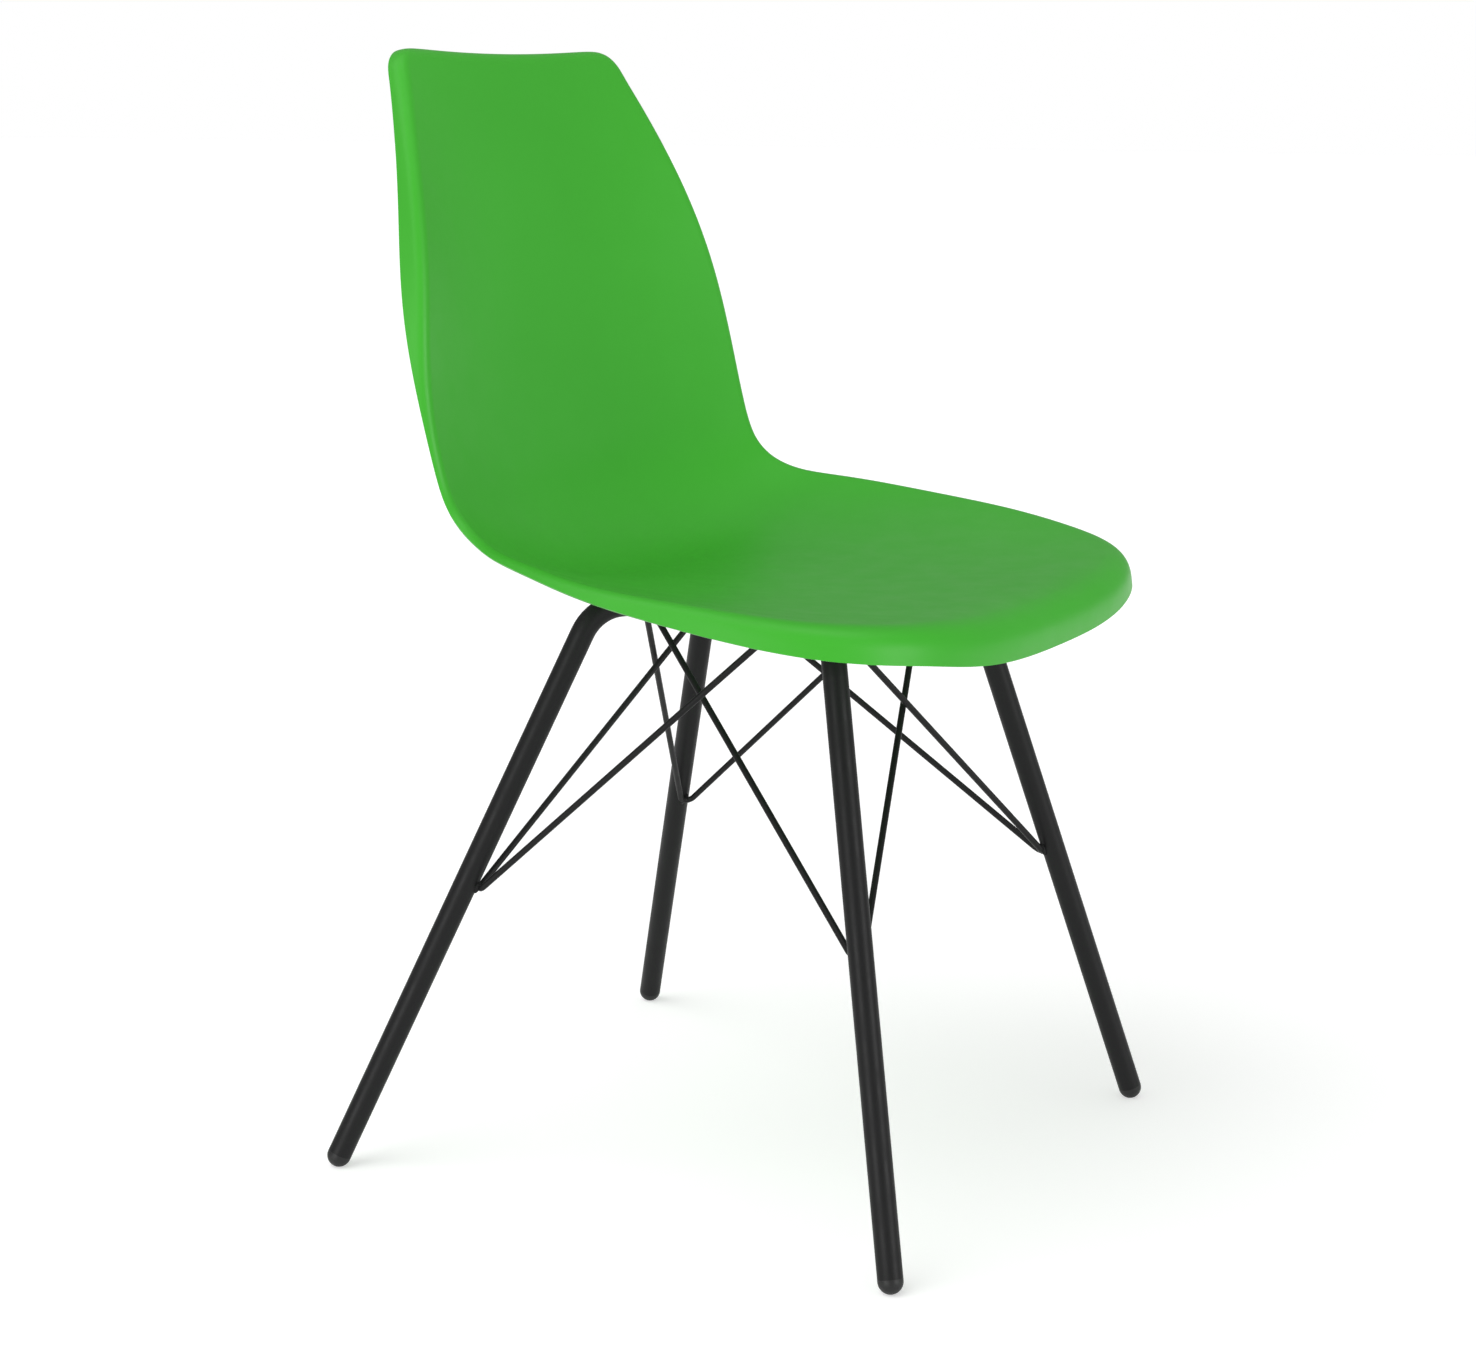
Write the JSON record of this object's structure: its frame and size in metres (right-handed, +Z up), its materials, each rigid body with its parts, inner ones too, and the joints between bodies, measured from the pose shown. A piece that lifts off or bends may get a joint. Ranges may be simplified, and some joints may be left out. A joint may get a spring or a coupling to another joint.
{
  "type": "moulded plastic shell chair",
  "caption": "Dining chair: bright green moulded shell, seat and back in one with a rolled edge, on splayed dark tube legs with crossed wire braces and small foot caps.",
  "frame": {"origin": "on the floor, under the middle of the chair's bounding box", "axes": "+Z up; -Y the way the sitter faces; +X the sitter's left; the YZ plane is the middle plane"},
  "size_m": [0.5246, 0.4937, 0.8243],
  "materials": {
    "shell_plastic": "satin moulded",
    "frame_steel": "satin black powder coat",
    "foot_plastic": "moulded",
    "pad_rubber": "matte",
    "insert_brass": "machined",
    "fastener_steel": "zinc plated"
  },
  "bodies": {
    "root": {"shell": "shell_plastic", "front_hoop": "frame_steel", "rear_hoop": "frame_steel", "centre_tie": "frame_steel", "front_left_brace": "frame_steel", "front_left_foot": "foot_plastic", "front_left_lug": "frame_steel", "front_left_pad": "pad_rubber", "front_right_brace": "frame_steel", "front_right_foot": "foot_plastic", "front_right_lug": "frame_steel", "front_right_pad": "pad_rubber", "rear_left_brace": "frame_steel", "rear_left_foot": "foot_plastic", "rear_left_lug": "frame_steel", "rear_left_pad": "pad_rubber", "rear_right_brace": "frame_steel", "rear_right_foot": "foot_plastic", "rear_right_lug": "frame_steel", "rear_right_pad": "pad_rubber", "threaded_inserts": "insert_brass", "seat_screws": "fastener_steel", "spring_washers": "fastener_steel", "flat_washers": "fastener_steel"}
  },
  "joints": []
}
